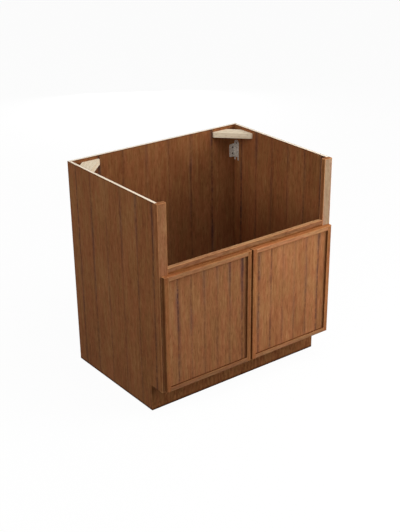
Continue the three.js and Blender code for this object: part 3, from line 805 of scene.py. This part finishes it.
FLANGE_SCREW = (0.0034, 0.0014)  # its head's radius and height, like those below
FLANGE_SCREW_SPACING = 0.045
FLANGE_SCREW_FROM_EDGE = 0.032  # from the door's outer edge
FLANGE_THICKNESS = 0.00115
ARM_SCREW = (0.0036, 0.0016)
ARM_SCREW_SPACING = 0.031
ARM_PLATE_THICKNESS = 0.0018
ARM_RIVET = (0.0023, 0.0009)
ARM_PINS = ((0.0068, 0.014), (0.016, 0.0022))  # from the stile's front corner, inwards and back
ARM_HALF_WIDTH = 0.007625  # outside the arm's two cheeks


def near_and_far(node, side):
    """The ends of a solid's box along X: the one towards the cabinet's side, and the other."""
    low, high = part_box(node)
    return (low[X], high[X]) if side == "left" else (high[X], low[X])


def flange_screws(side):
    """Screws of both cups in a door's back."""
    stile = f"{side}_door_outer_stile"
    x = near_and_far(stile, side)[0] + SIDES[side] * FLANGE_SCREW_FROM_EDGE
    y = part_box(stile)[1][Y] + FLANGE_THICKNESS
    places = []
    for level in LEVELS:
        z = middle(f"{side}_{level}_hinge_cup", Z)
        places += [((x, y, z + end * FLANGE_SCREW_SPACING / 2), (0, 1, 0)) for end in BOTH_ENDS]
    heads = seats(screw_head(*FLANGE_SCREW), places)
    show(f"{side}_door_hinge_screws", heads, NICKEL, f"{side}_door")


def arm_fasteners():
    """Screws of the hinge arms in the stiles' edges, and the heads of the arms' rivets."""
    screws, rivets = [], []
    for side, inwards in SIDES.items():
        stile = f"{side}_frame_stile"
        stile_front, stile_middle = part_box(stile)[0][Y], middle(stile, Y)
        stile_edge = near_and_far(stile, side)[1]
        for level in LEVELS:
            arm = f"{side}_{level}_hinge_arm"
            plate_face = near_and_far(arm, side)[0] + inwards * ARM_PLATE_THICKNESS
            z = middle(arm, Z)
            for end in BOTH_ENDS:
                place = (plate_face, stile_middle, z + end * ARM_SCREW_SPACING / 2)
                screws.append((place, (inwards, 0, 0)))
                for pin_in, pin_back in ARM_PINS:
                    x, y = stile_edge + inwards * pin_in, stile_front + pin_back
                    rivets.append(((x, y, z + end * ARM_HALF_WIDTH), (0, 0, end)))
    heads = seats(screw_head(*ARM_SCREW), screws)
    show("hinge_arm_screws", heads, NICKEL, "carcass")
    heads = seats(rivet_head(*ARM_RIVET), rivets)
    show("hinge_arm_rivets", heads, NICKEL, "carcass")


# ---- Screws of the corner brackets ------------------------------------------------------------------

BRACKET_SCREW = (0.0038, 0.0018)
BRACKET_SHEET = 0.0016
BACK_LEG_DROP = 0.003  # from the bracket's middle down to the middle of its leg on the back panel
BACK_HOLES = (0.0124, 0.0132)  # from the corner, and either side of that leg's middle
SIDE_HOLE = (0.015, 0.014)  # from the corner, and below the bracket's top


def bracket_screws():
    """Dark screws of the corner brackets, two in the back panel and one in the side."""
    places = []
    for side, inwards in SIDES.items():
        bracket = f"rear_{side}_corner_bracket"
        corner_x = near_and_far(bracket, side)[0]
        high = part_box(bracket)[1]
        leg_middle = middle(bracket, Z) - BACK_LEG_DROP
        from_corner, from_middle = BACK_HOLES
        x = corner_x + inwards * from_corner
        for end in BOTH_ENDS:
            z = leg_middle + end * from_middle
            places.append(((x, high[Y] - BRACKET_SHEET, z), (0, -1, 0)))
        from_corner, from_top = SIDE_HOLE
        x = corner_x + inwards * BRACKET_SHEET
        places.append(((x, high[Y] - from_corner, high[Z] - from_top), (inwards, 0, 0)))
    heads = seats(screw_head(*BRACKET_SCREW), places)
    show("corner_bracket_screws", heads, BLACK, "carcass")


# ---- Staples of the back panel ----------------------------------------------------------------------

STAPLE_CROWN = 0.0111
STAPLE_WIRE = (0.0012, 0.0006)  # width and thickness
SHOULDER_STEPS = 4
STAPLE_PROUD = 0.0002
STAPLE_EDGE_DISTANCE = 0.0065
STAPLES_UP = 8
STAPLES_ACROSS = 5
STAPLE_LEAN = 7  # degrees, at most


def staple():
    """A wire crown with rounded shoulders and the tops of its legs."""
    half, (width, thickness) = STAPLE_CROWN / 2, STAPLE_WIRE
    shoulder = 1.2 * thickness
    turns = [math.pi / 2 * step / SHOULDER_STEPS for step in range(SHOULDER_STEPS + 1)]
    straight, inner = half - shoulder, half - thickness
    outline = []
    for end in BOTH_ENDS:
        points = [(straight + shoulder * math.sin(t), shoulder * math.cos(t) - shoulder) for t in turns]
        points += [(half, -FASTENER_REACH), (inner, -FASTENER_REACH), (inner, -thickness)]
        outline += [(end * x, z) for x, z in points][:: -end]
    made = bmesh.new()
    face = made.faces.new([made.verts.new((x, -width / 2, z)) for x, z in outline])
    swept = bmesh.ops.extrude_face_region(made, geom=[face])["geom"]
    swept_corners = [part for part in swept if isinstance(part, bmesh.types.BMVert)]
    bmesh.ops.translate(made, verts=swept_corners, vec=(0, width, 0))
    bmesh.ops.recalc_face_normals(made, faces=made.faces)
    return to_mesh(made, "staple")


def evenly(low, high, count):
    """The middles of so many equal stretches between two places."""
    return [low + (high - low) * (index + 0.5) / count for index in range(count)]


def staple_moves(places, quarter_turns):
    """Lays staples on the back panel, level or turned upright, each leaning a little its own way."""
    for index, place in enumerate(places):
        lean = math.radians(STAPLE_LEAN * math.sin(2.7 * index) + 90 * quarter_turns)
        on_back = Matrix.Rotation(math.radians(-90), 4, "X")
        yield Matrix.Translation(place) @ Matrix.Rotation(lean, 4, "Y") @ on_back


def back_staples():
    """Staples that hold the back panel in the sides' rebates and to the cabinet's floor."""
    low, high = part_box("back_panel")
    y = high[Y] + STAPLE_PROUD
    moves = []
    for x in (low[X] + STAPLE_EDGE_DISTANCE, high[X] - STAPLE_EDGE_DISTANCE):
        moves += staple_moves([(x, y, z) for z in evenly(low[Z], high[Z], STAPLES_UP)], 1)
    floor_z = middle("floor_panel", Z)
    moves += staple_moves([(x, y, floor_z) for x in evenly(low[X], high[X], STAPLES_ACROSS)], 0)
    show("back_panel_staples", copies(staple(), moves), ZINC, "carcass", smooth=30)


# ---- Door bumpers -----------------------------------------------------------------------------------


def door_bumpers():
    """Milky domed pads that the doors close on."""
    for side in SIDES:
        for level in LEVELS:
            node = f"{side}_door_{level}_bumper"
            low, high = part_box(node)
            radius, height = (high[X] - low[X]) / 2, high[Y] - low[Y]
            dome = arc_points(radius, height, sink=0.35 * height, steps=8)
            pad = turned(dome + [(0.97 * radius, 0.0), (0.0, 0.0)])
            place = (middle(node, X), low[Y], middle(node, Z))
            pad = seats(pad, [(place, (0, 1, 0))])
            piece = show(f"{node}_pad", pad, PAD, f"{side}_door", smooth=60)
            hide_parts(node)


# ---- Floor, light and camera ------------------------------------------------------------------------

FLOOR_SIZE = 40.0
FLOOR_DROP = 0.0005  # below the cabinet, so that no two faces lie in one plane
FLOOR_BOUNCE = 0.1  # how pale the floor is to the light that it throws back
FLOOR_WHITE = 0.95
FLOOR_GLOW = 0.96  # share of the floor that shows as plain white, and doesn't take the shadow
AMBIENT = 0.14
WHITE = (1, 1, 1, 1)


def seen_share(tree):
    """1 for rays that show a surface: from the camera, by reflection or through glass."""
    path = tree.nodes.new("ShaderNodeLightPath")
    share = path.outputs["Is Camera Ray"]
    for kind in ("Is Glossy Ray", "Is Transmission Ray"):
        either = tree.nodes.new("ShaderNodeMath")
        either.operation = "MAXIMUM"
        tree.links.new(share, either.inputs[0])
        tree.links.new(path.outputs[kind], either.inputs[1])
        share = either.outputs[0]
    return share


def white_floor():
    """A pale floor that takes a faint shadow and throws little light back."""
    g = Graph("floor")
    seen = seen_share(g.tree)
    g.finish(g.mix(seen, (FLOOR_BOUNCE,) * 3, (FLOOR_WHITE,) * 3), roughness=0.9, specular=0.0)
    glow = g.node("ShaderNodeEmission", 0, {"Color": WHITE, "Strength": 1.0})
    shaders = {0: g.times(seen, FLOOR_GLOW), 1: g.shader.outputs[0], 2: glow}
    mixed = g.node("ShaderNodeMixShader", 0, shaders)
    g.put(g.tree.nodes["Material Output"].inputs["Surface"], mixed)
    half = FLOOR_SIZE / 2
    corners = [(-half, -half, 0), (half, -half, 0), (half, half, 0), (-half, half, 0)]
    mesh = bpy.data.meshes.new("floor")
    mesh.from_pydata(corners, [], [(0, 1, 2, 3)])
    mesh.materials.append(g.material)
    floor = bpy.data.objects.new("floor", mesh)
    floor.location.z = -FLOOR_DROP
    bpy.context.scene.collection.objects.link(floor)


def white_world():
    """A sky that looks white and gives only a little light."""
    world = bpy.data.worlds.new("studio")
    bpy.context.scene.world = world
    world.use_nodes = True
    tree = world.node_tree
    ambient, white = tree.nodes["Background"], tree.nodes.new("ShaderNodeBackground")
    for background, strength in ((ambient, AMBIENT), (white, 1.0)):
        background.inputs["Color"].default_value = WHITE
        background.inputs["Strength"].default_value = strength
    mixed = tree.nodes.new("ShaderNodeMixShader")
    tree.links.new(seen_share(tree), mixed.inputs[0])
    tree.links.new(ambient.outputs[0], mixed.inputs[1])
    tree.links.new(white.outputs[0], mixed.inputs[2])
    tree.links.new(mixed.outputs[0], tree.nodes["World Output"].inputs["Surface"])


LIGHT_AIM = (0.0, 0.0, 0.45)
SOFTBOXES = {  # place, side of the square, watts
    "left": ((-4.5, 0.0, 3.0), 2.4, 80),
    "front": ((1.9, -1.9, 1.5), 1.6, 66),
    "top": ((0.3, -1.6, 4.2), 2.8, 86),
    "fill": ((-2.2, -3.4, 0.9), 1.7, 25),
    "rear": ((2.2, 3.8, 0.45), 0.9, 60),  # too low to shine into the cabinet
}


def softbox(name, place, size, watts):
    """A square light that faces the cabinet's middle and isn't seen itself."""
    data = bpy.data.lights.new(name, "AREA")
    data.shape = "SQUARE"
    data.size = size
    data.energy = watts
    lamp = bpy.data.objects.new(name, data)
    lamp.location = place
    lamp.rotation_euler = (Vector(LIGHT_AIM) - Vector(place)).to_track_quat("-Z", "Y").to_euler()
    lamp.visible_camera = False
    bpy.context.scene.collection.objects.link(lamp)


# The photograph's camera, found from the cabinet's corners.
CAMERA_PLACE = (-2.3316, -2.8058, 2.1673)  # from the floor under the middle of the face frame's front
CAMERA_TURN = -38.4658  # degrees from looking straight at the doors, below 0 from their left
CAMERA_TILT = 25.5975  # degrees below level
CAMERA_ROLL = 0.0522
CAMERA_LENS = 70.278
CAMERA_SHIFT = (-0.0531, 0.04696)


def photo_camera():
    """Looks at the cabinet as the photograph does."""
    turn, tilt, roll = (math.radians(angle) for angle in (CAMERA_TURN, CAMERA_TILT, CAMERA_ROLL))
    data = bpy.data.cameras.new("camera")
    data.sensor_fit = "AUTO"
    data.sensor_width = 36.0
    data.lens = CAMERA_LENS
    data.shift_x, data.shift_y = CAMERA_SHIFT
    camera = bpy.data.objects.new("camera", data)
    frame_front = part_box("left_frame_stile")[0][Y]
    camera.location = Vector(CAMERA_PLACE) + Vector((0.0, frame_front, 0.0))
    level = math.cos(tilt)
    towards = Vector((-math.sin(turn) * level, math.cos(turn) * level, -math.sin(tilt)))
    rolled = Matrix.Rotation(roll, 4, "Z").to_quaternion()
    camera.rotation_mode = "QUATERNION"
    camera.rotation_quaternion = towards.to_track_quat("-Z", "Y") @ rolled
    bpy.context.scene.collection.objects.link(camera)
    bpy.context.scene.camera = camera


photo_camera()
for piece_name, piece_material in dress_nodes().items():
    ease_edges(nodes[piece_name], METAL_EDGE if piece_material in (ZINC, NICKEL) else EASED_EDGE)
for door_side in SIDES:
    flange_screws(door_side)
arm_fasteners()
bracket_screws()
back_staples()
door_bumpers()
white_floor()
white_world()
for light_name, light in SOFTBOXES.items():
    softbox(light_name, *light)

scene = bpy.context.scene
scene.view_settings.view_transform = "Standard"
